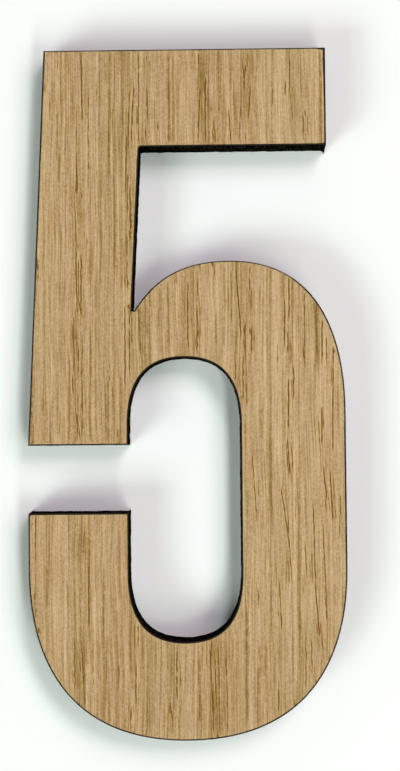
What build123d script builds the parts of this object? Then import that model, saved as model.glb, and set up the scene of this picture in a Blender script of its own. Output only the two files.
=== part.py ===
"""House number 5 cut from one flat oak board, to be fixed flat against a wall.

The frame has x to the right and z up the digit, seen from the front. The back lies in the wall's
plane at y = 0 and the front face looks along -y. The origin is the middle of the width, on the
baseline.
"""

from build123d import *
from math import cos, radians, sin
import os

os.makedirs("parts", exist_ok=True)

# Whole digit, in mm
overall_height = 150.0
overall_width = 68.9
board_thickness = 6.0

# Bar across the top
bar_height = 21.3
bar_left_inset = 3.8
bar_right_inset = 3.55

# Stem, which leans outwards and narrows a little on its way down
stem_width_at_bar = 21.7
stem_width_at_notch = 21.4
stem_corner_radius = 0.6

# Bowl
bowl_height = 103.55
crown_offset = 9.5
bowl_bottom_offset = -0.4
upper_turn_height = 33.0
lower_turn_height = 37.0
terminal_height = 49.0
foot_gap = 14.7

# Widths of the bowl's strokes round its counter
left_stroke = 21.72
right_stroke = 22.75
top_stroke = 20.95
bottom_stroke = 21.1
counter_turn_height = 14.8

# Notch where the bowl springs from the stem
notch_drop = 10.65
notch_floor = 0.6
shoulder_slope = 58.0

# How full the turns are, as shares of their height and width: 0.552 both ways is an ellipse
outer_side_pull = 0.56
outer_level_pull = 0.73
counter_side_pull = 0.68
counter_level_pull = 0.67
shoulder_pull = 0.39

# Heights and sides that follow from the sizes above
left_side = -overall_width / 2
right_side = overall_width / 2
bar_underside = overall_height - bar_height
stem_foot = terminal_height + foot_gap
notch_height = bowl_height - notch_drop
counter_left = left_side + left_stroke
counter_right = right_side - right_stroke
counter_middle = (counter_left + counter_right) / 2
counter_top = bowl_height - top_stroke
counter_bottom = bottom_stroke


def stem_outside(height):
    """The stem's outer edge at a height, on its line from the foot to the bar's top corner"""
    lean = bar_left_inset / (overall_height - stem_foot)
    return left_side + lean * (height - stem_foot)


def turn(side, level, side_pull, level_pull):
    """A quarter turn from a point on an upright side to a point where the edge runs level"""
    width = side[0] - level[0]
    height = level[1] - side[1]
    side_control = (side[0], side[1] + side_pull * height)
    level_control = (level[0] + level_pull * width, level[1])
    return Bezier(side, side_control, level_control, level)


def shoulder(crown, notch):
    """The bowl's upper left edge, level at the crown and steep where it meets the notch"""
    pull = shoulder_pull * (Vector(*crown) - Vector(*notch)).length
    slope = radians(shoulder_slope)
    crown_control = (crown[0] - pull, crown[1])
    notch_control = (notch[0] + pull * cos(slope), notch[1] + pull * sin(slope))
    return Bezier(crown, crown_control, notch_control, notch)


# Corners and ends of curves, as x and z
bar_top_left = (stem_outside(overall_height), overall_height)
bar_top_right = (right_side - bar_right_inset, overall_height)
bar_low_right = (right_side - bar_right_inset, bar_underside)
stem_corner = (stem_outside(bar_underside) + stem_width_at_bar, bar_underside)
notch_left = (stem_outside(notch_height) + stem_width_at_notch, notch_height)
notch_right = (notch_left[0] + notch_floor, notch_height)
stem_foot_left = (left_side, stem_foot)
crown = (crown_offset, bowl_height)
right_side_top = (right_side, bowl_height - upper_turn_height)
right_side_bottom = (right_side, lower_turn_height)
bowl_bottom = (bowl_bottom_offset, 0)
left_side_bottom = (left_side, lower_turn_height)

with BuildPart() as number_five:
    with BuildSketch(Plane.XZ) as digit:
        # Outer edge: the stem's and the bar's straight sides, then the bowl from crown to foot
        with BuildLine():
            Polyline(
                left_side_bottom,
                stem_foot_left,
                bar_top_left,
                bar_top_right,
                bar_low_right,
                stem_corner,
                notch_left,
                notch_right,
            )
            shoulder(crown, notch_right)
            turn(right_side_top, crown, outer_side_pull, outer_level_pull)
            Line(right_side_top, right_side_bottom)
            turn(right_side_bottom, bowl_bottom, outer_side_pull, outer_level_pull)
            turn(left_side_bottom, bowl_bottom, outer_side_pull, outer_level_pull)
        make_face()

        # Counter: two upright sides joined by a round top and a round bottom
        with BuildLine():
            for level_height, side_height in (
                (counter_top, counter_top - counter_turn_height),
                (counter_bottom, counter_bottom + counter_turn_height),
            ):
                for side in (counter_left, counter_right):
                    turn(
                        (side, side_height),
                        (counter_middle, level_height),
                        counter_side_pull,
                        counter_level_pull,
                    )
            for side in (counter_left, counter_right):
                Line(
                    (side, counter_bottom + counter_turn_height),
                    (side, counter_top - counter_turn_height),
                )
        make_face(mode=Mode.SUBTRACT)

        # Gap that opens the counter to the left, between the stem's foot and the bowl's end
        with Locations((-overall_width, terminal_height)):
            Rectangle(
                overall_width + counter_middle,
                foot_gap,
                align=(Align.MIN, Align.MIN),
                mode=Mode.SUBTRACT,
            )

        # The cut rounds the inner corner between bar and stem
        inner_corner = digit.vertices().sort_by_distance(stem_corner)[0]
        fillet(inner_corner, radius=stem_corner_radius)

    extrude(amount=board_thickness)

number_five.part.label = "number_five"
export_step(number_five.part, "parts/number_five.step")
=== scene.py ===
"""Looks of the oak house number 5, seen square on against a white wall.

The frame is the solid's own: x to the right and z up the digit, the wall's plane at y = 0 and the
front face at the solid's lowest y. Sizes are in mm unless a name ends in _m, and become metres where
they enter a mesh, a light or the camera.
"""
from math import ceil, cos, degrees, pi, radians

import bpy
import numpy as np
from mathutils import Color, Matrix, Vector
from mathutils.geometry import delaunay_2d_cdt, interpolate_bezier


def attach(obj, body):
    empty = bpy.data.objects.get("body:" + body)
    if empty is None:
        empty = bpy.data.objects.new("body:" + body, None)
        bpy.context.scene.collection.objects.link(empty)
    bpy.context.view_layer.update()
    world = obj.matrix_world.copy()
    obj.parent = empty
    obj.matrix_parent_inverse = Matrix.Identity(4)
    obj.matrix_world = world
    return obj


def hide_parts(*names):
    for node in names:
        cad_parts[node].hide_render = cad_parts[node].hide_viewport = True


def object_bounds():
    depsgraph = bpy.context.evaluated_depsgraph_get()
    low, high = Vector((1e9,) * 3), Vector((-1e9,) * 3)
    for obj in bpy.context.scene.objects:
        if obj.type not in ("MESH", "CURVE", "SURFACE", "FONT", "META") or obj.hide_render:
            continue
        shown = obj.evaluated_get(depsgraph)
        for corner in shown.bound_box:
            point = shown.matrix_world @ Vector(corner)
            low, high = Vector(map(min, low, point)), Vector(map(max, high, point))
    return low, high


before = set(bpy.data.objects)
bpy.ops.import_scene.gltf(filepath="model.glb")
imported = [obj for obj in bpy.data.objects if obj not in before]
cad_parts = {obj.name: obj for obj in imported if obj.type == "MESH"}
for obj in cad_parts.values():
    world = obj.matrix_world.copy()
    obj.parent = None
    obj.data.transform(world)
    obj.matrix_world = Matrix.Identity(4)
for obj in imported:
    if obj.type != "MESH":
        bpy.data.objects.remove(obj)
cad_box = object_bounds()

MM = 0.001
NODE = "number_five"
MIDDLE_HEIGHT_M = (cad_box[0][2] + cad_box[1][2]) / 2

# How near two planes or two points count as one, and how many places are measured at once
SAME_PLANE = 1e-3
SAME_POINT = 1e-7
PLACES_AT_ONCE = 2000

# How the rim is followed round the digit: the spacing of its points, the turn in degrees that makes a
# corner, and the length from which an edge of the outline counts as straight
RIM_SPACING = 0.4
CORNER_TURN = 40.0
STRAIGHT_RUN = 3.0

# Irregular waves along the rim: how many make up one line, how far each strays from its wavelength, how
# much the long ones outweigh the short ones, and the wavelengths of each line
WAVE_COUNT = 24
WAVE_STRAY = 0.1
WAVE_WEIGHT = 0.4
CHAR_WAVES = dict(shortest=0.8, longest=20, seed=3)
RAGGED_WAVES = dict(shortest=0.9, longest=9, seed=11)
STRIATION_WAVES = dict(shortest=0.8, longest=2.5, seed=17)

# Rings that border the face, as distances from the rim. They draw together near a corner, where they would
# cross: the last one lies no further in than the corner inset there, or than the corner share of the way
# along the rim. The clearance is from the last ring of the face or the back to the first cells.
FACE_RINGS = (0.055, 0.12, 0.19, 0.265, 0.34, 0.4, 0.46, 0.52)
CORNER_INSET = 0.34
CORNER_SHARE = 0.9
RING_CLEARANCE = 0.08

# Cells of the face and the back: narrow across the grain, long along it
FACE_CELL = (0.11, 1.25)
BACK_CELL = (0.6, 2.4)

# Cut walls: how far the face's edge is rubbed down, heights of their rows above the wall plane, how far the
# cut flares out on its way back where the board's own size leaves room, from what height it is ragged and
# how much at the back edge, and the depth of its fine ridges
ARRIS_DROP = 0.05
WALL_ROWS = (5.2, 4.3, 3.4, 2.5, 1.7, 1.0, 0.5, 0.2, 0.05)
FLARE = 0.12
RAGGED_FROM = 2.6
RAGGED_DEPTH = 0.2
STRIATION_DEPTH = 0.03

# Burrs left at corners of the back edge: corner, how far the burr stands out, its reach along the rim.
# They taper off over a mm of height, up to their top.
BURR_TOP = 1.2
BURRS = (
    ((30.9, 128.7), (-0.1, -0.55), 0.55),
    ((-12.73, 49.0), (0.12, 0.2), 0.5),
    ((-34.45, 49.0), (0.0, 0.2), 0.6),
)

# Charred line along the rim of the face: its width, how much that wavers and over what width it fades.
# Where the width differs: a line from end to end, how far from it the change reaches, and the added width.
# A change is whole over the held share of its reach.
CHAR_WIDTH = 0.31
CHAR_WAVER = 0.06
CHAR_FADE = 0.08
CHANGE_HELD = 0.2
CHAR_CHANGES = (
    ((30.9, 128.7), (30.9, 149.5), 2.0, 0.055),
    ((30.9, 141.5), (30.9, 149.5), 2.0, 0.07),
    ((30.9, 146.0), (30.9, 149.5), 2.0, 0.065),
    ((-30.7, 149.0), (-33.0, 96.0), 1.0, 0.033),
    ((34.45, 68.0), (34.45, 43.0), 1.0, 0.055),
    ((-12.0, 0.5), (12.0, 0.5), 1.0, -0.03),
    ((-30.65, 150.0), (29.0, 150.0), 0.6, -0.07),
    ((-3.0, 103.5), (22.0, 103.5), 7.0, -0.08),
    ((-12.2, 92.9), (-11.6, 92.9), 0.6, -0.06),
)

# Scorch of the back: its strength beside the rim, the distance over which it dies away, and the rings that
# border the back, as distances from its edge with how charred each is
BACK_SCORCH = 0.35
BACK_SCORCH_REACH = 0.9
BACK_RINGS = ((0.04, 1.0), (0.14, BACK_SCORCH))

# How a line of grain runs: its sway and its jogs from side to side and the beat of its strength, each with
# the range of its pace in radians a mm, the length over which its ends fade and where on that fade its tips
# stand. Beside its core it has flanks: their share of its strength, and their place and width in half
# widths of the line.
SWAY = 0.035
SWAY_PACES = (0.25, 0.6)
JOG_PACES = (1.2, 2.8)
JOG_SHARPNESS = 3
BEAT = 0.24
BEAT_PACES = (1.6, 3.6)
END_FADE = 1.2
TIP_SHARE = 0.25
FLANK_SHARE = 0.4
FLANK_PLACE = 2.1
FLANK_WIDTH = 0.8

# Dark pores of the oak on the face: x and z of the upper end, x and z of the lower end, strength
PORES = (
    # Bar
    (-22.3, 149.7, -22.3, 135.0, 0.8),
    (-20.9, 140.2, -21.0, 119.3, 0.5),
    (-23.4, 137.0, -23.6, 128.0, 0.45),
    (-10.9, 142.3, -11.6, 129.8, 0.8),
    (-11.9, 141.2, -12.3, 128.0, 0.7),
    (-12.6, 131.5, -12.9, 118.1, 0.9),
    (-9.8, 149.5, -10.0, 129.9, 0.7),
    (-8.2, 148.8, -8.1, 147.3, 0.8),
    (-8.0, 141.6, -8.0, 135.0, 1.0),
    (-8.4, 132.8, -8.4, 129.8, 0.9),
    (-5.8, 134.1, -5.8, 132.3, 0.6),
    (3.4, 149.4, 3.2, 145.4, 0.9),
    (3.6, 141.4, 3.0, 130.0, 0.9),
    (4.8, 144.3, 4.6, 129.3, 1.0),
    (5.9, 137.5, 5.9, 136.1, 0.8),
    (6.5, 134.8, 6.5, 129.3, 0.6),
    (9.8, 137.0, 10.2, 129.3, 0.6),
    (12.5, 138.7, 11.9, 129.3, 0.6),
    (14.4, 149.2, 13.2, 144.0, 1.0),
    (13.2, 146.0, 13.2, 140.5, 1.0),
    (14.5, 142.1, 14.1, 134.3, 0.8),
    (22.1, 143.0, 22.1, 139.7, 0.8),
    (23.1, 149.6, 23.1, 141.0, 0.9),
    (23.2, 141.0, 23.6, 133.9, 0.5),
    (26.4, 136.0, 26.4, 135.2, 0.9),
    # Stem
    (-26.8, 150.0, -26.9, 137.0, 0.4),
    (-23.4, 128.1, -23.8, 118.0, 0.6),
    (-23.9, 115.2, -23.7, 106.6, 0.5),
    (-23.8, 106.4, -23.6, 92.0, 0.9),
    (-22.7, 105.6, -22.8, 91.8, 0.9),
    (-22.0, 110.1, -22.0, 109.1, 0.8),
    (-22.4, 119.3, -22.5, 117.2, 0.8),
    (-24.3, 91.4, -24.4, 79.4, 0.7),
    (-24.7, 79.0, -24.7, 74.7, 0.6),
    (-24.2, 72.0, -22.9, 64.4, 0.7),
    (-22.6, 87.7, -22.7, 64.4, 0.6),
    (-23.4, 75.0, -23.9, 64.3, 0.5),
    (-23.3, 104.0, -23.2, 93.5, 0.6),
    (-23.4, 85.5, -23.5, 79.0, 0.6),
    (-23.5, 125.0, -23.4, 118.5, 0.7),
    (-12.2, 94.8, -12.3, 78.5, 0.7),
    (-11.8, 93.0, -11.7, 84.5, 0.6),
    (-12.7, 104.5, -12.7, 97.0, 0.5),
    (-12.4, 123.0, -12.5, 113.0, 0.6),
    (-11.9, 119.9, -12.0, 107.2, 0.9),
    (-13.2, 93.5, -13.3, 76.3, 0.8),
    # Top of the bowl
    (-10.3, 94.3, -9.8, 82.3, 0.6),
    (0.5, 99.5, 0.4, 83.1, 0.8),
    (2.7, 100.1, 2.7, 95.7, 0.9),
    (2.5, 93.5, 2.4, 83.5, 0.9),
    (3.1, 102.9, 3.1, 101.4, 0.7),
    (11.0, 102.0, 12.0, 86.7, 0.9),
    (9.9, 101.5, 9.9, 90.0, 0.5),
    (14.0, 102.6, 13.9, 96.7, 0.7),
    (12.9, 90.2, 12.8, 81.6, 0.7),
    (14.3, 89.1, 14.2, 83.6, 0.9),
    (10.6, 83.4, 10.8, 77.0, 0.6),
    (12.4, 83.4, 12.3, 73.2, 0.7),
    # Right of the bowl, above its middle
    (21.5, 94.6, 21.4, 84.2, 0.9),
    (22.5, 99.9, 22.4, 90.5, 1.0),
    (22.3, 88.3, 22.0, 83.5, 0.8),
    (22.2, 77.5, 22.0, 66.9, 0.9),
    (23.3, 80.3, 23.2, 73.1, 0.8),
    (21.8, 65.0, 22.3, 57.3, 0.8),
    (25.4, 85.3, 25.4, 82.0, 0.6),
    (25.8, 97.6, 25.7, 79.6, 0.5),
    (29.6, 90.2, 29.5, 81.5, 0.8),
    (30.5, 86.5, 30.5, 80.5, 0.7),
    (31.9, 85.8, 31.6, 62.6, 0.7),
    (29.3, 71.3, 29.3, 63.5, 0.7),
    # Right of the bowl, below its middle
    (14.1, 61.3, 15.0, 46.8, 0.5),
    (20.3, 54.3, 22.3, 39.5, 0.6),
    (21.6, 50.0, 22.4, 34.0, 0.5),
    (19.6, 34.5, 20.2, 23.6, 0.7),
    (19.4, 12.4, 19.3, 5.6, 0.9),
    (25.3, 42.4, 25.7, 34.9, 0.6),
    (27.2, 50.8, 27.5, 34.2, 0.6),
    (29.4, 58.5, 30.2, 51.7, 0.9),
    (30.9, 57.7, 31.4, 47.3, 0.9),
    (29.3, 45.9, 29.9, 25.6, 0.8),
    (27.4, 33.4, 28.3, 22.2, 0.9),
    (25.3, 23.5, 25.2, 11.3, 0.5),
    (26.6, 21.6, 26.5, 13.9, 0.5),
    (14.8, 33.3, 14.8, 32.9, 1.0),
    # Left end of the bowl
    (-32.9, 48.7, -32.9, 39.0, 0.7),
    (-33.3, 31.7, -32.3, 23.1, 0.6),
    (-21.4, 38.3, -21.5, 24.7, 0.9),
    (-24.5, 21.7, -24.6, 11.2, 0.7),
    (-23.2, 21.7, -22.4, 7.8, 0.9),
    (-20.5, 13.8, -20.5, 12.5, 0.8),
    (-10.9, 25.9, -10.9, 19.9, 0.6),
    (-11.4, 17.1, -11.4, 7.7, 0.8),
    (-12.5, 7.3, -12.6, 2.2, 0.6),
    # Foot of the bowl
    (-2.5, 20.3, -2.6, 8.9, 0.9),
    (-4.1, 8.9, -3.5, 3.0, 0.9),
    (4.6, 20.2, 5.3, 1.6, 0.9),
    (5.6, 19.5, 5.9, 6.6, 0.6),
    (6.4, 20.9, 6.6, 1.2, 0.7),
    (8.1, 19.8, 8.3, 1.6, 0.6),
)

# Half width of the pores, how far they jog, how deep they lie, and how much paler their flanks are
PORE_WIDTH = 0.12
PORE_JOG = 0.035
PORE_DEPTH = 0.035
PORE_FLANK = 1.2

# Soft lines of the oak on the face, given in the same way
SOFT_LINES = (
    (-16.1, 149.6, -16.5, 122.6, 0.7),
    (-3.4, 149.4, -3.3, 129.4, 0.9),
    (-2.3, 149.4, -2.4, 129.4, 0.4),
    (7.8, 149.7, 7.6, 135.5, 0.8),
    (29.8, 149.0, 29.6, 129.1, 0.4),
    (-30.7, 117.2, -31.0, 64.9, 0.5),
    (-28.3, 117.2, -28.3, 108.5, 0.6),
    (-27.6, 137.0, -27.7, 126.0, 0.7),
    (-25.5, 84.4, -25.6, 64.2, 0.6),
    (-29.4, 73.6, -29.5, 63.8, 0.8),
    (-20.5, 125.9, -20.9, 64.9, 0.5),
    (-19.4, 117.1, -19.8, 64.8, 0.4),
    (-18.3, 112.7, -18.4, 98.5, 0.6),
    (-17.8, 87.6, -17.9, 77.4, 0.6),
    (-17.0, 77.8, -17.1, 63.7, 0.7),
    (-15.2, 117.1, -15.8, 64.8, 0.4),
    (-9.9, 94.1, -10.2, 86.5, 0.7),
    (-8.4, 90.4, -8.4, 87.5, 0.6),
    (-5.5, 97.3, -5.6, 83.8, 0.5),
    (-3.8, 99.5, -3.9, 83.8, 0.6),
    (6.6, 92.8, 6.5, 84.1, 0.7),
    (8.4, 102.6, 8.3, 85.2, 0.6),
    (14.5, 90.6, 14.4, 84.1, 0.6),
    (18.4, 101.4, 17.9, 51.6, 0.5),
    (16.2, 74.7, 16.1, 64.7, 0.6),
    (28.5, 94.8, 28.4, 81.8, 1.0),
    (-18.2, 38.0, -18.4, 3.9, 0.8),
    (-14.7, 45.6, -14.8, 30.3, 0.6),
    (-30.5, 37.5, -30.5, 28.2, 0.6),
    (-8.6, 19.0, -8.8, 2.0, 0.5),
    (2.4, 19.0, 2.2, 4.4, 0.7),
    (12.6, 28.6, 12.4, 4.1, 0.8),
    (15.2, 20.8, 15.1, 9.9, 0.7),
    (23.8, 46.0, 24.0, 22.0, 0.5),
)

# Half width of the soft lines, how much darker their cores are, and how much paler their flanks
SOFT_WIDTH = 0.27
SOFT_CORE = 1.05
SOFT_FLANK = 0.3

# Broad bands of the face: x, upper and lower z, half width, how much paler than the rest. Their ends fade
# over a length, and their sides by a power.
BAND_STRENGTH = 0.6
BAND_FADE = 4
BAND_POWER = 4
BANDS = (
    (-23.0, 128.0, 64.0, 1.4, -0.25),
    (-12.5, 150.0, 106.0, 1.3, -0.35),
    (-8.2, 150.0, 128.7, 0.6, -0.3),
    (4.2, 150.0, 128.7, 1.3, -0.5),
    (7.6, 150.0, 128.7, 1.1, -0.3),
    (13.6, 150.0, 134.0, 1.3, -0.5),
    (19.3, 150.0, 128.7, 3.0, 0.4),
    (27.0, 150.0, 128.7, 2.0, 0.15),
    (1.2, 103.0, 82.0, 1.8, -0.4),
    (7.0, 103.5, 84.0, 2.0, 0.15),
    (12.3, 103.0, 72.0, 1.7, -0.45),
    (19.5, 102.0, 60.0, 1.4, 0.35),
    (22.2, 100.0, 56.0, 0.9, -0.25),
    (28.6, 95.0, 80.0, 0.9, -0.45),
    (30.6, 60.0, 20.0, 1.3, -0.3),
    (27.9, 50.0, 18.0, 0.7, -0.2),
    (21.4, 54.0, 34.0, 0.8, -0.25),
    (17.0, 45.0, 20.0, 2.2, 0.2),
    (6.3, 21.0, 1.0, 2.0, -0.45),
    (-3.2, 21.0, 2.5, 0.9, -0.3),
    (-23.0, 45.5, 40.0, 1.2, -0.7),
    (-23.4, 22.0, 7.5, 1.3, -0.4),
    (-21.6, 38.0, 25.0, 0.6, -0.3),
    (-28.0, 30.0, 14.0, 2.4, 0.15),
    (14.9, 149.5, 144.5, 0.5, -0.8),
    (23.7, 142.0, 136.0, 0.6, -0.5),
    (3.9, 146.5, 142.5, 0.9, -0.45),
    (5.6, 139.0, 135.0, 0.6, -0.5),
    (10.3, 149.5, 142.0, 0.45, -0.6),
    (11.2, 140.0, 130.0, 0.6, -0.45),
    (-9.9, 92.0, 84.0, 0.5, -0.6),
    (24.0, 88.0, 26.0, 9.5, 0.13),
    (0.0, 22.0, 2.0, 26.0, -0.2),
    (0.0, 150.0, 128.7, 36.0, -0.08),
)

# Fine grain that is only drawn by its kind: how far it leans to the left for each mm down, and for its long
# lines and its short pores how many there are, their sizes, their strength and the least share of it
GRAIN_SEED = 5
GRAIN_LEAN = 0.012
FINE_LINES = 240
FINE_WIDTHS = (0.11, 0.26)
FINE_LENGTHS = (10.0, 80.0)
FINE_STRENGTH = 0.65
FINE_LEAST = 0.2
SHORT_PORES = 150
SHORT_LENGTHS = (1.5, 8.0)
SHORT_STRENGTH = 0.5
SHORT_LEAST = 0.3

# Short pores in company of each long one: the most of them, how far down it they start, as a share of its
# length, how far to its side, their lengths, and their strength beside its own
MOST_COMPANIONS = 2
COMPANION_STARTS = (-0.1, 0.9)
COMPANION_REACHES = (0.25, 0.75)
COMPANION_LENGTHS = (1.5, 7.0)
COMPANION_STRENGTH = 0.8

# Layout of the map that holds the finish: gap between its islands in mm of the face, the back's scale,
# and the strips that the walls are cut into. A face is level with the wall where its normal's y is over
# the level share.
LEVEL_SHARE = 0.5
MAP_GAP = 1.0
MAP_BACK_SHARE = 0.72
MAP_STRIPS = 4
MAP_STRIP_WIDTH = 4.6

# The wall behind the digit: half its side, its gap from the back, its white, and how far inside the rim it
# is open where the digit covers it
WALL_HALF = 1500.0
WALL_GAP = 0.02
WALL_WHITE = (0.97, 0.97, 0.97, 1)
OPENING_INSET = 0.35

# Soft boxes: the window of directions that each fills seen from the digit, in lengths sideways and up
# for one length out from the wall, and its share of the light in red, green and blue. Each window is
# measured in so many steps each way. The box behind the wall lights the digit's back.
SOFT_BOX_DISTANCE_M = 2.0
WINDOW_STEPS = 60
SOFT_BOXES = {
    "right_high_box": dict(sideways=(0.32, 0.72), up=(0.44, 1.35), share=(0.257, 0.273, 0.283)),
    "right_outer_box": dict(sideways=(0.72, 1.29), up=(0.44, 1.35), share=(0.074, 0.015, 0.037)),
    "right_low_box": dict(sideways=(0.4, 0.67), up=(-1.15, -0.42), share=(0.15, 0.182, 0.156)),
    "right_foot_box": dict(sideways=(0.4, 0.67), up=(-1.85, -1.15), share=(0.078, 0.072, 0.072)),
    "far_right_box": dict(sideways=(0.77, 1.39), up=(-0.69, 0.61), share=(0.145, 0.154, 0.152)),
    "low_right_box": dict(sideways=(2.4, 5.5), up=(-1.5, 1.5), share=(0.012, 0.01, 0.008)),
    "left_outer_box": dict(sideways=(-2.35, -1.5), up=(-2.28, -0.83), share=(0.136, 0.144, 0.147)),
    "left_low_box": dict(sideways=(-1.5, -0.92), up=(-2.28, -0.83), share=(0.097, 0.121, 0.102)),
    "low_left_box": dict(sideways=(-6.0, -3.2), up=(-2.0, 1.5), share=(0.018, 0.021, 0.015)),
    "low_corner_box": dict(sideways=(-6.0, -3.2), up=(-6.0, -2.5), share=(0.016, 0.015, 0.013)),
    "low_top_box": dict(sideways=(-2.0, 2.0), up=(3.2, 6.0), share=(0.017, 0.016, 0.013)),
    "high_box": dict(sideways=(-1.78, 0.13), up=(1.94, 2.7), share=(0.018, 0.018, 0.014)),
}
BACK_BOX = dict(sideways=(-1.0, 1.0), up=(-1.0, 1.0), share=(0.9, 0.9, 0.9))

# Even light of the world on the digit, where a strength of 1 is white
AMBIENT = 0.004

# Camera in front of the digit: how near to it things show, its place, its turns in degrees, and its lens
# and sensor
CAMERA_NEAR_M = 0.01
CAMERA_PLACE = (6.09, -277.0, 68.91)
CAMERA_TILT = 1.595
CAMERA_LEFT = 0.659
CAMERA_ROLL = 0.513
CAMERA_LENS = 58.37
CAMERA_SENSOR = 36.0


def smooth_step(value):
    """Goes from 0 to 1 as the value does, with no kink at either end"""
    held = np.clip(value, 0, 1)
    return held * held * (3 - 2 * held)


# The digit's outline


def front_loop(mesh):
    """The outline of the solid's front face as x, z points in mm, anticlockwise seen from the front"""
    places = np.array([vertex.co for vertex in mesh.vertices]) / MM
    front = places[:, 1].min()
    on_front = np.abs(places[:, 1] - front) < SAME_PLANE
    used = {}
    for face in mesh.polygons:
        if all(on_front[corner] for corner in face.vertices):
            for edge in face.edge_keys:
                used[edge] = used.get(edge, 0) + 1
    beside = {}
    for edge, times in used.items():
        if times == 1:
            beside.setdefault(edge[0], []).append(edge[1])
            beside.setdefault(edge[1], []).append(edge[0])
    start = min(beside)
    loop, last = [start], None
    while True:
        following = [corner for corner in beside[loop[-1]] if corner != last][0]
        if following == start:
            break
        last = loop[-1]
        loop.append(following)
    points = places[loop][:, (0, 2)]
    after = np.roll(points, -1, axis=0)
    if (points[:, 0] * after[:, 1] - after[:, 0] * points[:, 1]).sum() < 0:
        points = points[::-1]
    return points, front


def smooth_rim(loop):
    """Evenly spaced points round the outline, which keep its corners and round off its curves"""
    points = [Vector(point) for point in loop]
    count = len(points)
    runs = [points[(i + 1) % count] - points[i] for i in range(count)]
    ways = [run.normalized() for run in runs]
    corner = [abs(degrees(ways[i - 1].angle_signed(ways[i]))) > CORNER_TURN for i in range(count)]
    straight = [
        runs[i].length > STRAIGHT_RUN or corner[i] and corner[(i + 1) % count] for i in range(count)
    ]

    def tangent(i):
        before, after = (i - 1) % count, i
        if straight[after]:
            return ways[after]
        if straight[before]:
            return ways[before]
        pull = ways[before] * runs[after].length + ways[after] * runs[before].length
        return pull.normalized()

    def mirrored(way, across):
        return 2 * way.dot(across) * way - across

    rim = []
    for i in range(count):
        j = (i + 1) % count
        leave, arrive = ways[i], ways[i]
        if not straight[i]:
            leave = mirrored(ways[i], tangent(j)) if corner[i] else tangent(i)
            arrive = mirrored(ways[i], tangent(i)) if corner[j] else tangent(j)
        third = runs[i].length / 3
        steps = max(1, ceil(runs[i].length / RIM_SPACING))
        curve = interpolate_bezier(
            points[i], points[i] + leave * third, points[j] - arrive * third, points[j], steps + 1
        )
        rim.extend((point.x, point.y) for point in curve[:-1])
    return np.array(rim)


class Rim:
    """Points in mm round the digit, anticlockwise: how far along they lie, the way in, the nearest corner"""

    def __init__(self, points):
        self.points = points
        runs = np.roll(points, -1, axis=0) - points
        lengths = np.linalg.norm(runs, axis=1)
        self.along = np.concatenate([[0], np.cumsum(lengths)[:-1]])
        self.length = lengths.sum()

        # Inward steps of one mm from the edges after and before each point, and the cosine of the turn there
        after = np.stack([-runs[:, 1], runs[:, 0]], axis=1) / lengths[:, None]
        before = np.roll(after, 1, axis=0)
        turn = (before * after).sum(axis=1)
        self.inward = (before + after) / (1 + turn)[:, None]
        off = np.abs(self.along[:, None] - self.along[turn < cos(radians(CORNER_TURN))])
        self.from_corner = np.minimum(off, self.length - off).min(axis=1)

    def inset(self, distance):
        """The points carried into the board, all by one distance or each by its own"""
        return self.points + np.broadcast_to(distance, len(self.points))[:, None] * self.inward

    def waver(self, shortest, longest, seed):
        """A smooth irregular value between 0 and 1 along the rim"""
        draw = np.random.default_rng(seed)
        value = np.zeros(len(self.along))
        for wavelength in np.geomspace(shortest, longest, WAVE_COUNT):
            times = round(self.length / wavelength * draw.uniform(1 - WAVE_STRAY, 1 + WAVE_STRAY))
            turned = 2 * pi * times * self.along / self.length + draw.uniform(0, 2 * pi)
            value += wavelength**WAVE_WEIGHT * np.sin(turned)
        return (value - value.min()) / np.ptp(value)


def distance_to(loop, places):
    """Distance of each place from the closed loop"""
    run = np.roll(loop, -1, axis=0) - loop
    found = []
    for part in np.array_split(places, ceil(len(places) / PLACES_AT_ONCE)):
        off = part[:, None] - loop
        share = np.clip((off * run).sum(axis=2) / (run * run).sum(axis=1), 0, 1)
        found.append(np.linalg.norm(off - share[..., None] * run, axis=2).min(axis=1))
    return np.concatenate(found)


def crossings(loop, x):
    """Heights at which the upright line at x crosses the closed loop"""
    over = (loop[:, 0] <= x) != (np.roll(loop[:, 0], -1) <= x)
    a, b = loop[over], np.roll(loop, -1, axis=0)[over]
    return a[:, 1] + (x - a[:, 0]) / (b[:, 0] - a[:, 0]) * (b[:, 1] - a[:, 1])


def lies_within(loop, place):
    """Whether a place lies inside the closed loop"""
    return (crossings(loop, place[0]) > place[1]).sum() % 2 == 1


def cell_corners(loop, cell, clearance):
    """Corners of a grid inside the loop, no nearer to it than the clearance, and how far from it"""
    left, low = loop.min(axis=0)
    right, high = loop.max(axis=0)
    heights = np.arange(low + cell[1] / 2, high, cell[1])
    kept = []
    for x in np.arange(left + cell[0] / 2, right, cell[0]):
        within = np.searchsorted(np.sort(crossings(loop, x)), heights) % 2 == 1
        kept.extend((x, z) for z in heights[within])
    kept = np.array(kept)
    off_loop = distance_to(loop, kept)
    clear = off_loop > clearance
    return kept[clear], off_loop[clear]


def filled(ring, inner):
    """Triangles that fill a closed ring through the points inside it, all turned the ring's way"""
    points = [Vector(point) for point in np.concatenate([ring, inner])]
    count = len(ring)
    edges = [(i, (i + 1) % count) for i in range(count)]
    inside_only = 1
    _, _, faces, came_from, _, _ = delaunay_2d_cdt(points, edges, [], inside_only, SAME_POINT)
    first = [min(group) for group in came_from]
    return [tuple(first[corner] for corner in face) for face in faces]


# Grain painted on the face


def wave(z, paces, draw):
    """A sine wave along z of a drawn pace and start"""
    return np.sin(z * draw.uniform(*paces) + draw.uniform(0, 2 * pi))


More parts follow.
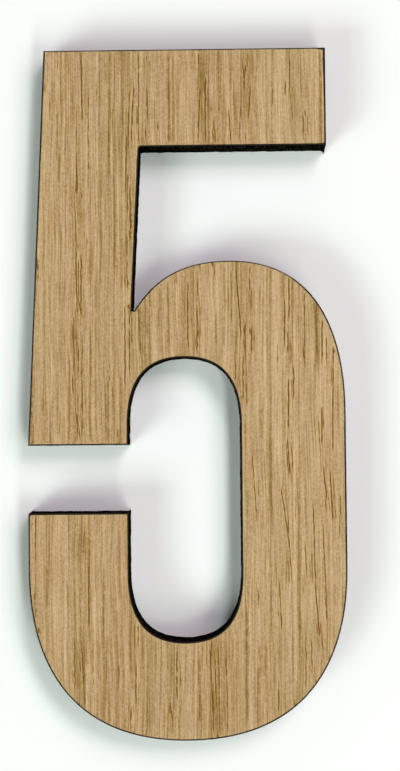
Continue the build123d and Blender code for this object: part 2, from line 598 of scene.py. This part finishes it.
def line_shade(x, z, line, width, draw, jog=0.0):
    """The places that one line of grain passes, and how strongly its core and its flanks show at each"""
    x_top, z_top, x_low, z_low, strength = line
    length = z_top - z_low
    near = np.flatnonzero((z < z_top + width) & (z > z_low - width))
    down = (z_top - z[near]) / length
    sway = SWAY * wave(z[near], SWAY_PACES, draw)
    sway += jog * np.tanh(JOG_SHARPNESS * wave(z[near], JOG_PACES, draw))
    off = (x[near] - (x_top + down * (x_low - x_top) + sway)) / width
    shown = strength * smooth_step(np.minimum(down, 1 - down) * length / END_FADE + TIP_SHARE)
    beat = 1 - BEAT + BEAT * wave(z[near], BEAT_PACES, draw)
    core = np.exp(-off * off)
    flank = FLANK_SHARE * np.exp(-(((np.abs(off) - FLANK_PLACE) / FLANK_WIDTH) ** 2))
    return near, shown * beat * core, shown * flank


def drawn_line(low, high, lengths, least, draw):
    """A line of grain somewhere on the face, of a drawn length and strength"""
    length = draw.uniform(*lengths)
    x_top, z_top = draw.uniform(low[0], high[0]), draw.uniform(low[1], high[1] + length)
    return x_top, z_top, x_top - GRAIN_LEAN * length, z_top - length, draw.uniform(least, 1)


def companion(line, draw):
    """A short pore beside a long one, which strays no further aside than the long one does"""
    x_top, z_top, x_low, z_low, strength = line
    down = draw.uniform(*COMPANION_STARTS)
    aside = draw.choice((-1, 1)) * draw.uniform(*COMPANION_REACHES)
    start_x, start_z = x_top + down * (x_low - x_top) + aside, z_top - down * (z_top - z_low)
    length = draw.uniform(*COMPANION_LENGTHS)
    end_x = start_x + length * (x_low - x_top) / max(z_top - z_low, length)
    strength *= COMPANION_STRENGTH * draw.uniform(SHORT_LEAST, 1)
    return start_x, start_z, end_x, start_z - length, strength


def painted_grain(places):
    """Tone of the oak and depth of its pores at each place on the face"""
    x, z = places[:, 0], places[:, 1]
    draw = np.random.default_rng(GRAIN_SEED)
    tone, pore = np.zeros(len(x)), np.zeros(len(x))

    def add_pore(line, share=1.0):
        near, core, flank = line_shade(x, z, line, PORE_WIDTH, draw, PORE_JOG)
        pore[near] = np.maximum(pore[near], share * core)
        return near, flank

    for line in PORES:
        near, flank = add_pore(line)
        tone[near] += PORE_FLANK * flank
        for _ in range(draw.integers(MOST_COMPANIONS + 1)):
            add_pore(companion(line, draw))
    for line in SOFT_LINES:
        near, core, flank = line_shade(x, z, line, SOFT_WIDTH, draw)
        tone[near] += SOFT_FLANK * flank - SOFT_CORE * core
    for middle, z_top, z_low, half_width, paler in BANDS:
        ends = smooth_step((z_top - z) / BAND_FADE + 0.5) * smooth_step((z - z_low) / BAND_FADE + 0.5)
        sides = np.exp(-(((x - middle) / half_width) ** BAND_POWER))
        tone += BAND_STRENGTH * paler * ends * sides
    low, high = places.min(axis=0), places.max(axis=0)
    for _ in range(FINE_LINES):
        line = drawn_line(low, high, FINE_LENGTHS, FINE_LEAST, draw)
        near, core, _ = line_shade(x, z, line, draw.uniform(*FINE_WIDTHS), draw)
        tone[near] += draw.choice((-1, -1, 1)) * FINE_STRENGTH * core
    for _ in range(SHORT_PORES):
        add_pore(drawn_line(low, high, SHORT_LENGTHS, SHORT_LEAST, draw), SHORT_STRENGTH)
    return tone, pore


def char_width(places):
    """Width of the charred line near each place, before its waver"""
    width = np.full(len(places), CHAR_WIDTH)
    for start, end, reach, added in CHAR_CHANGES:
        start, end = np.array(start), np.array(end)
        run = end - start
        share = np.clip(((places - start) * run).sum(axis=1) / (run * run).sum(), 0, 1)
        off = np.linalg.norm(places - (start + share[:, None] * run), axis=1)
        width += added * smooth_step(1 + CHANGE_HELD - off / reach)
    return width


def char_at(width, off_rim):
    """How charred the face is at a distance from the rim, from 0 to 1"""
    return smooth_step((width + CHAR_FADE / 2 - off_rim) / CHAR_FADE)


# The board


class Board:
    """The digit's mesh as it grows: points in mm, faces, and what is painted at each point"""

    def __init__(self):
        self.points, self.faces = [], []
        self.painted = {"tone": [], "pore": [], "char": [], "along": []}
        self.count = 0

    def add_points(self, places, y, **painted):
        """Adds points at x, z places and returns their numbers. What isn't painted on them is 0."""
        size = len(places)
        self.points.append(np.column_stack([places[:, 0], np.broadcast_to(y, size), places[:, 1]]))
        for name, values in self.painted.items():
            values.append(np.broadcast_to(painted.get(name, 0.0), size))
        self.count += size
        return np.arange(self.count - size, self.count)

    def add_strip(self, one, other):
        """Joins two rings of as many points. The rings run anticlockwise, the first one further out."""
        one_next, other_next = np.roll(one, -1), np.roll(other, -1)
        self.faces.extend(zip(one.tolist(), one_next.tolist(), other_next.tolist(), other.tolist()))

    def add_fill(self, numbers, faces, flipped):
        """Adds faces given by places in a list of point numbers"""
        for face in faces:
            corners = [int(numbers[corner]) for corner in face]
            self.faces.append(tuple(reversed(corners)) if flipped else tuple(corners))


def add_face(board, rim, front):
    """Adds rings beside the rim, then cells along the grain, and returns the numbers of the rim's points"""
    width = char_width(rim.points) + CHAR_WAVER * (rim.waver(**CHAR_WAVES) - 0.5)
    last_inset = np.maximum(CORNER_INSET, CORNER_SHARE * rim.from_corner)
    room = np.minimum(1, last_inset / FACE_RINGS[-1])
    arris = board.add_points(rim.points, front + ARRIS_DROP, char=1.0, along=rim.along)
    outer = arris
    for distance in FACE_RINGS:
        ring = rim.inset(distance * room)
        char = char_at(width, distance * room)
        tone, pore = painted_grain(ring)

        # No pore is cut into the first ring, so that the face's edge stays whole
        depth = PORE_DEPTH * pore * (distance > FACE_RINGS[0])
        numbers = board.add_points(ring, front + depth, char=char, along=rim.along, tone=tone, pore=pore)
        board.add_strip(outer, numbers)
        outer = numbers
    inner, _ = cell_corners(rim.points, FACE_CELL, FACE_RINGS[-1] + RING_CLEARANCE)
    tone, pore = painted_grain(inner)
    cells = board.add_points(inner, front + PORE_DEPTH * pore, tone=tone, pore=pore)
    board.add_fill(np.concatenate([outer, cells]), filled(ring, inner), flipped=False)
    return arris


def add_walls(board, rim, front, arris):
    """Adds rows from the face to the back, more ragged the further back, and returns the last row"""
    ragged = rim.waver(**RAGGED_WAVES) - 0.5
    scratch = STRIATION_DEPTH * rim.waver(**STRIATION_WAVES)
    low, high = rim.points.min(axis=0), rim.points.max(axis=0)
    above = arris
    for height in WALL_ROWS:
        lean = smooth_step((RAGGED_FROM - height) / RAGGED_FROM)
        flare = FLARE * (1 + height / front)
        cut = np.clip(rim.inset(RAGGED_DEPTH * lean * ragged + scratch - flare), low, high)
        for corner, out, reach in BURRS:
            share = smooth_step(1 - np.linalg.norm(rim.points - np.array(corner), axis=1) / reach)
            cut = cut + (smooth_step(BURR_TOP - height) * share)[:, None] * np.array(out)
        numbers = board.add_points(cut, -height, char=1.0, along=rim.along)
        board.add_strip(numbers, above)
        above = numbers
    return above, cut


def add_back(board, rim, edge, cut):
    """Adds rings beside the cut's edge, then plain cells"""
    outer = edge
    for distance, scorch in BACK_RINGS:
        ring = cut + distance * rim.inward
        numbers = board.add_points(ring, 0.0, char=scorch, along=rim.along)
        board.add_strip(numbers, outer)
        outer = numbers
    inner, off_ring = cell_corners(ring, BACK_CELL, RING_CLEARANCE)
    cells = board.add_points(inner, 0.0, char=BACK_SCORCH * np.exp(-off_ring / BACK_SCORCH_REACH))
    board.add_fill(np.concatenate([outer, cells]), filled(ring, inner), flipped=True)


def board_mesh(rim, front):
    """The whole digit as a mesh in metres, with what is painted on it as attributes"""
    board = Board()
    arris = add_face(board, rim, front)
    back_edge, cut = add_walls(board, rim, front, arris)
    add_back(board, rim, back_edge, cut)
    mesh = bpy.data.meshes.new("oak_five")
    places = np.concatenate(board.points) * MM
    mesh.from_pydata(places.tolist(), [], board.faces)
    for name, values in board.painted.items():
        painted = np.concatenate(values).astype(np.float32)
        mesh.attributes.new(name, "FLOAT", "POINT").data.foreach_set("value", painted)
    mesh.update()
    return mesh


# Materials


def linear(red, green, blue):
    """A screen's colour in steps from 0 to 255, as the light it stands for"""
    return (*Color((red / 255, green / 255, blue / 255)).from_srgb_to_scene_linear(), 1)


# Oak from its darkest grain to its palest, and the tints that lie over it
OAK_TONES = (
    (0.0, linear(118, 87, 34)),
    (0.3, linear(156, 124, 73)),
    (0.5, linear(183, 152, 110)),
    (0.7, linear(201, 171, 128)),
    (1.0, linear(221, 193, 151)),
)
PINK_OAK = linear(190, 154, 115)
OLIVE_OAK = linear(166, 143, 96)
PORE_GOLD = linear(170, 135, 66)
PORE_BROWN = linear(100, 64, 0)
SCORCHED = linear(56, 39, 21)
BLACKENED = linear(17, 12, 4)
CHARRED = linear(5, 6, 3)
CHAR_RIDGE = linear(52, 46, 38)

# Noise in the finish: its steps a mm along x, y and z, its detail and its roughness. The ridges of the cut
# are measured along the rim in place of x.
SWAY_NOISE = dict(steps=(0.05, 0.05, 0.035), detail=1)
FIBRE = dict(steps=(3.4, 1.0, 0.09), detail=2, roughness=0.55)
STRAND = dict(steps=(1.5, 1.0, 0.014), detail=2, roughness=0.65)
SPECKLE = dict(steps=(3.4, 3.4, 2.4), detail=1)
FIGURE = dict(steps=(0.22, 0.3, 0.012), detail=1)
TINT = dict(steps=(0.3, 0.2, 0.012), detail=1)
DASHES = dict(steps=(3.6, 3.6, 0.7), detail=1)
UNEVEN_BURN = dict(steps=(1.6, 1.6, 1.6), detail=2)
RIDGES = dict(steps=(3.0, 0.35, 1.0), detail=2)

# How far the grain sways in mm, the level of the oak's tone, and the weight in it of what is painted on
# the face and of each noise
GRAIN_SWAY = 2.4
TONE_LEVEL = 0.515
PAINTED_WEIGHT = 0.45
FIBRE_WEIGHT = 1.0
STRAND_WEIGHT = 0.6
SPECKLE_WEIGHT = 0.55
FIGURE_WEIGHT = 0.14

# What follows from a pattern: the pattern's range, and the range that it is stretched over
PINK_SHARE = (0.5, 0.75, 0.0, 0.3)
OLIVE_SHARE = (0.5, 0.25, 0.0, 0.3)
DASH_STRENGTH = (0.3, 0.56, 0.6, 1.6)
GOLD_SHARE = (0.02, 0.3, 0.0, 0.85)
BROWN_SHARE = (0.1, 0.52, 0.0, 0.95)
BURN_OFFSET = (0.3, 0.7, -0.08, 0.08)
SCORCHED_SHARE = (0.12, 0.5, 0.0, 0.97)
BLACKENED_SHARE = (0.6, 1.0, 0.0, 1.0)
RIDGE_SHARE = (0.5, 0.85, 0.0, 1.0)
OAK_ROUGHNESS = (0.2, 0.8, 0.68, 0.52)
CUT_ROUGHNESS = (0.3, 0.7, 0.95, 0.8)

# How much rougher the blackened oak is, and the relief of the oak and of the cut
BLACKENED_ROUGHER = 0.25
TONE_RELIEF = 0.5
PORE_RELIEF = -0.6
OAK_BUMP = dict(strength=0.35, depth=0.05)
CUT_BUMP = dict(strength=0.5, depth=0.08)

# Sockets of the mix node that hold its share, its two colours and the colour that comes out
MIX_SHARE, MIX_ONE, MIX_OTHER, MIX_RESULT = 0, 6, 7, 2


class Nodes:
    """A material's node tree, with short calls for the nodes that the finishes use"""

    def __init__(self, tree):
        self.tree = tree

    def add(self, kind, inputs=(), **settings):
        """A new node with its settings and its inputs"""
        node = self.tree.nodes.new(kind)
        for name, value in settings.items():
            setattr(node, name, value)
        self.feed(node, dict(inputs))
        return node

    def feed(self, node, inputs):
        """Links each input of a node to what is given for it, or sets it"""
        for socket, value in inputs.items():
            if isinstance(value, bpy.types.NodeSocket):
                self.tree.links.new(value, node.inputs[socket])
            else:
                node.inputs[socket].default_value = value

    def math(self, operation, *values):
        return self.add("ShaderNodeMath", dict(enumerate(values)), operation=operation).outputs[0]

    def swing(self, pattern, weight, level=0.0):
        """A level that a pattern from 0 to 1 carries up and down by its weight"""
        return self.math("MULTIPLY_ADD", self.math("SUBTRACT", pattern, 0.5), weight, level)

    def attribute(self, name):
        return self.add("ShaderNodeAttribute", attribute_name=name).outputs["Fac"]

    def spread(self, value, low, high, to_low, to_high):
        """The value's range from low to high, stretched over another range and held at its ends"""
        inputs = {"Value": value, "From Min": low, "From Max": high, "To Min": to_low, "To Max": to_high}
        return self.add("ShaderNodeMapRange", inputs).outputs["Result"]

    def vector(self, operation, one, other):
        return self.add("ShaderNodeVectorMath", {0: one, 1: other}, operation=operation).outputs[0]

    def noise(self, place, steps, detail, roughness=0.5):
        """Noise at a place in metres, of so many steps a mm along x, y and z"""
        steps_on = self.vector("MULTIPLY", place, tuple(share / MM for share in steps))
        inputs = {"Vector": steps_on, "Scale": 1, "Detail": detail, "Roughness": roughness}
        return self.add("ShaderNodeTexNoise", inputs).outputs["Fac"]

    def mixed(self, share, one, other):
        """The first colour with a share of the other over it"""
        inputs = {MIX_SHARE: share, MIX_ONE: one, MIX_OTHER: other}
        return self.add("ShaderNodeMix", inputs, data_type="RGBA").outputs[MIX_RESULT]

    def ramp(self, value, stops):
        """The colour at a value between stops, each a position and a colour"""
        node = self.add("ShaderNodeValToRGB", {0: value})
        elements = node.color_ramp.elements
        while len(elements) < len(stops):
            elements.new(1)
        for element, (position, colour) in zip(elements, stops):
            element.position = position
            element.color = colour
        return node.outputs["Color"]

    def bump(self, height, strength, depth):
        """The surface's normal over a relief whose height of 1 is a depth in mm"""
        inputs = {"Height": height, "Strength": strength, "Distance": depth * MM}
        return self.add("ShaderNodeBump", inputs).outputs[0]


def oak_tone(nodes, place, swayed):
    """Tone of the oak, about 0 where it is darkest and 1 where it is palest"""
    tone = nodes.math("MULTIPLY_ADD", nodes.attribute("tone"), PAINTED_WEIGHT, TONE_LEVEL)
    tone = nodes.swing(nodes.noise(swayed, **FIBRE), FIBRE_WEIGHT, tone)
    tone = nodes.swing(nodes.noise(swayed, **STRAND), STRAND_WEIGHT, tone)
    tone = nodes.swing(nodes.noise(place, **SPECKLE), SPECKLE_WEIGHT, tone)
    return nodes.swing(nodes.noise(swayed, **FIGURE), FIGURE_WEIGHT, tone)


def oak_colour(nodes, place):
    """Oak's colour, its tone and its pores"""
    shift = nodes.swing(nodes.noise(place, **SWAY_NOISE), GRAIN_SWAY * MM)
    aside = nodes.add("ShaderNodeCombineXYZ", {"X": shift}).outputs[0]
    swayed = nodes.vector("ADD", place, aside)
    tone = oak_tone(nodes, place, swayed)
    tint = nodes.noise(swayed, **TINT)
    colour = nodes.mixed(nodes.spread(tint, *PINK_SHARE), nodes.ramp(tone, OAK_TONES), PINK_OAK)
    colour = nodes.mixed(nodes.spread(tint, *OLIVE_SHARE), colour, OLIVE_OAK)
    strength = nodes.spread(nodes.noise(place, **DASHES), *DASH_STRENGTH)
    pore = nodes.math("MULTIPLY", nodes.attribute("pore"), strength)
    colour = nodes.mixed(nodes.spread(pore, *GOLD_SHARE), colour, PORE_GOLD)
    colour = nodes.mixed(nodes.spread(pore, *BROWN_SHARE), colour, PORE_BROWN)
    return colour, tone, pore


def new_finish(name, gloss):
    """A material to build on: its nodes, its shader and where the finish is placed from"""
    material = bpy.data.materials.new(name)
    material.use_nodes = True
    nodes = Nodes(material.node_tree)
    shader = material.node_tree.nodes["Principled BSDF"]
    shader.inputs["Specular IOR Level"].default_value = gloss
    return material, nodes, shader, nodes.add("ShaderNodeTexCoord").outputs["Object"]


def cut_oak():
    """Oak with pores and grain, scorched and then charred towards the cut"""
    material, nodes, shader, place = new_finish("cut_oak", gloss=0.2)
    colour, tone, pore = oak_colour(nodes, place)
    uneven = nodes.spread(nodes.noise(place, **UNEVEN_BURN), *BURN_OFFSET)
    burn = nodes.math("ADD", nodes.attribute("char"), uneven)
    colour = nodes.mixed(nodes.spread(burn, *SCORCHED_SHARE), colour, SCORCHED)
    blackened = nodes.spread(burn, *BLACKENED_SHARE)
    colour = nodes.mixed(blackened, colour, BLACKENED)
    rough = nodes.math("MULTIPLY_ADD", blackened, BLACKENED_ROUGHER, nodes.spread(tone, *OAK_ROUGHNESS))
    relief = nodes.math("MULTIPLY_ADD", pore, PORE_RELIEF, nodes.math("MULTIPLY", tone, TONE_RELIEF))
    normal = nodes.bump(relief, **OAK_BUMP)
    nodes.feed(shader, {"Base Color": colour, "Roughness": rough, "Normal": normal})
    return material


def burnt_cut():
    """Black of the cut walls, with fine ridges that run from face to back"""
    material, nodes, shader, place = new_finish("burnt_cut", gloss=0.0)
    along = nodes.math("MULTIPLY", nodes.attribute("along"), MM)
    depth = nodes.add("ShaderNodeSeparateXYZ", {0: place}).outputs["Y"]
    on_cut = nodes.add("ShaderNodeCombineXYZ", {"X": along, "Y": depth}).outputs[0]
    ridge = nodes.noise(on_cut, **RIDGES)
    colour = nodes.mixed(nodes.spread(ridge, *RIDGE_SHARE), CHARRED, CHAR_RIDGE)
    rough = nodes.spread(ridge, *CUT_ROUGHNESS)
    normal = nodes.bump(ridge, **CUT_BUMP)
    nodes.feed(shader, {"Base Color": colour, "Roughness": rough, "Normal": normal})
    return material


def read(collection, name, kind, width=1):
    """One value or vector for each item of a mesh's list"""
    values = np.empty(len(collection) * width, kind)
    collection.foreach_get(name, values)
    return values.reshape(-1, width) if width > 1 else values


def add_bake_map(mesh):
    """A map for the finish: the face large, the back smaller beside it, the walls as strips"""
    point = read(mesh.loops, "vertex_index", np.int32)
    start = read(mesh.polygons, "loop_start", np.int32)
    size = read(mesh.polygons, "loop_total", np.int32)
    facing = np.repeat(read(mesh.polygons, "normal", np.float32, 3)[:, 1], size)
    sides = [facing < -LEVEL_SHARE, facing > LEVEL_SHARE]
    places = read(mesh.vertices, "co", np.float32, 3) / MM
    x, y, z = (places - places.min(axis=0))[point].T
    width, depth, height = np.ptp(places, axis=0)

    # Along the rim, with the face that closes the ring carried past its end
    along = read(mesh.attributes["along"].data, "value", np.float32)[point]
    total = along.max()
    closing = np.maximum.reduceat(along, start) - np.minimum.reduceat(along, start) > total / 2
    along = np.where(np.repeat(closing, size) & (along < total / 2), along + total + RIM_SPACING, along)
    strip_length = total / MAP_STRIPS
    strip = np.repeat(np.add.reduceat(along, start) / size // strip_length, size)
    strip = np.minimum(strip, MAP_STRIPS - 1)

    back_left = width + 2 * MAP_GAP
    strips_left = back_left + MAP_BACK_SHARE * width + MAP_GAP
    strip_left = strips_left + strip * (MAP_STRIP_WIDTH + MAP_GAP)
    across = np.select(
        sides,
        [MAP_GAP + x, back_left + MAP_BACK_SHARE * (width - x)],
        strip_left + MAP_STRIP_WIDTH * y / depth,
    )
    up = np.select(
        sides,
        [z, MAP_BACK_SHARE * z],
        (along - strip * strip_length) * (height - MAP_GAP) / strip_length,
    )
    spots = np.column_stack([across, MAP_GAP + up]) / (height + 2 * MAP_GAP)
    mesh.uv_layers.new(name="OFBake").uv.foreach_set("vector", spots.astype(np.float32).ravel())


def add_number(rim, front):
    """The dressed digit in place of its plain solid"""
    mesh = board_mesh(rim, front)
    add_bake_map(mesh)
    mesh.materials.append(cut_oak())
    mesh.materials.append(burnt_cut())
    level = np.abs(read(mesh.polygons, "normal", np.float32, 3)[:, 1])
    mesh.polygons.foreach_set("material_index", (level < LEVEL_SHARE).astype(np.int32))
    piece = bpy.data.objects.new("oak_five", mesh)
    bpy.context.scene.collection.objects.link(piece)
    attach(piece, "root")
    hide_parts(NODE)


# Stage


def backdrop_share(nodes):
    """1 for what the camera sees, straight or in a reflection, and 0 for light on the digit"""
    path = nodes.add("ShaderNodeLightPath").outputs
    seen = nodes.math("MAXIMUM", path["Is Camera Ray"], path["Is Glossy Ray"])
    return nodes.math("MAXIMUM", seen, path["Is Transmission Ray"])


def wall_material():
    """White wall that keeps shadows. From behind it lets the view and the light through."""
    material = bpy.data.materials.new("white_wall")
    material.use_nodes = True
    nodes = Nodes(material.node_tree)
    material.node_tree.nodes.remove(material.node_tree.nodes["Principled BSDF"])
    matt = nodes.add("ShaderNodeBsdfDiffuse", {"Color": WALL_WHITE}).outputs[0]
    clear = nodes.add("ShaderNodeBsdfTransparent").outputs[0]
    behind = nodes.add("ShaderNodeNewGeometry").outputs["Backfacing"]
    both = nodes.add("ShaderNodeMixShader", {0: behind, 1: matt, 2: clear}).outputs[0]
    nodes.feed(material.node_tree.nodes["Material Output"], {"Surface": both})
    return material


def add_wall(opening):
    """A wide wall behind the digit. It is open where the digit covers it, so that light reaches the back."""
    corners = [Vector((x, z)) * WALL_HALF for x, z in ((-1, -1), (1, -1), (1, 1), (-1, 1))]
    points = corners + [Vector(place) for place in opening]
    count = len(opening)
    edges = [(len(corners) + i, len(corners) + (i + 1) % count) for i in range(count)]
    whole_outline = 0
    places, _, faces, _, _, _ = delaunay_2d_cdt(points, edges, [], whole_outline, SAME_POINT)
    middles = [sum((places[corner] for corner in face), Vector((0, 0))) / len(face) for face in faces]
    faces = [face for face, middle in zip(faces, middles) if not lies_within(opening, middle)]
    mesh = bpy.data.meshes.new("wall")
    mesh.from_pydata([(x * MM, WALL_GAP * MM, z * MM) for x, z in places], [], faces)
    mesh.materials.append(wall_material())
    wall = bpy.data.objects.new("wall", mesh)
    bpy.context.scene.collection.objects.link(wall)


def add_soft_box(name, sideways, up, share, side=-1):
    """A soft box level with the wall that fills a window of directions and gives its share of the light.
    Its side is -1 in front of the wall and 1 behind it."""
    across = np.linspace(*sideways, WINDOW_STEPS)
    rise = np.linspace(*up, WINDOW_STEPS)
    window = (sideways[1] - sideways[0]) * (up[1] - up[0])
    reach = window * np.mean(1 / (1 + across[:, None] ** 2 + rise[None] ** 2) ** 2)
    light = bpy.data.lights.new(name, "AREA")
    light.shape = "RECTANGLE"
    light.size = (sideways[1] - sideways[0]) * SOFT_BOX_DISTANCE_M
    light.size_y = (up[1] - up[0]) * SOFT_BOX_DISTANCE_M
    light.energy = max(share) * pi**2 * light.size * light.size_y / reach
    light.color = [part / max(share) for part in share]
    box = bpy.data.objects.new(name, light)
    box.location = (
        sum(sideways) / 2 * SOFT_BOX_DISTANCE_M,
        side * SOFT_BOX_DISTANCE_M,
        sum(up) / 2 * SOFT_BOX_DISTANCE_M + MIDDLE_HEIGHT_M,
    )
    box.rotation_euler = (-side * radians(90), 0, 0)
    box.visible_camera = False
    bpy.context.scene.collection.objects.link(box)


def set_world():
    """White to look at, and a weak even light on the digit"""
    world = bpy.data.worlds.new("studio")
    bpy.context.scene.world = world
    world.use_nodes = True
    nodes = Nodes(world.node_tree)
    strength = nodes.spread(backdrop_share(nodes), 0, 1, AMBIENT, 1)
    nodes.feed(world.node_tree.nodes["Background"], {"Color": (1, 1, 1, 1), "Strength": strength})


def add_camera():
    """Camera a little right of the digit's middle, nearly square to the face"""
    camera = bpy.data.cameras.new("camera")
    camera.lens = CAMERA_LENS
    camera.sensor_width = CAMERA_SENSOR
    camera.clip_start = CAMERA_NEAR_M
    view = bpy.data.objects.new("camera", camera)
    stand = Matrix.Translation([size * MM for size in CAMERA_PLACE])
    for turn, axis in ((CAMERA_LEFT, "Z"), (CAMERA_TILT, "X"), (CAMERA_ROLL, "Y"), (90, "X")):
        stand @= Matrix.Rotation(radians(turn), 4, axis)
    view.matrix_world = stand
    bpy.context.scene.collection.objects.link(view)
    bpy.context.scene.camera = view


outline, front_y = front_loop(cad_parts[NODE].data)
add_number(Rim(smooth_rim(outline)), front_y)
add_wall(Rim(outline).inset(OPENING_INSET))
for name, window in SOFT_BOXES.items():
    add_soft_box(name, **window)
add_soft_box("back_box", **BACK_BOX, side=1)
set_world()
add_camera()
bpy.context.scene.view_settings.view_transform = "Standard"
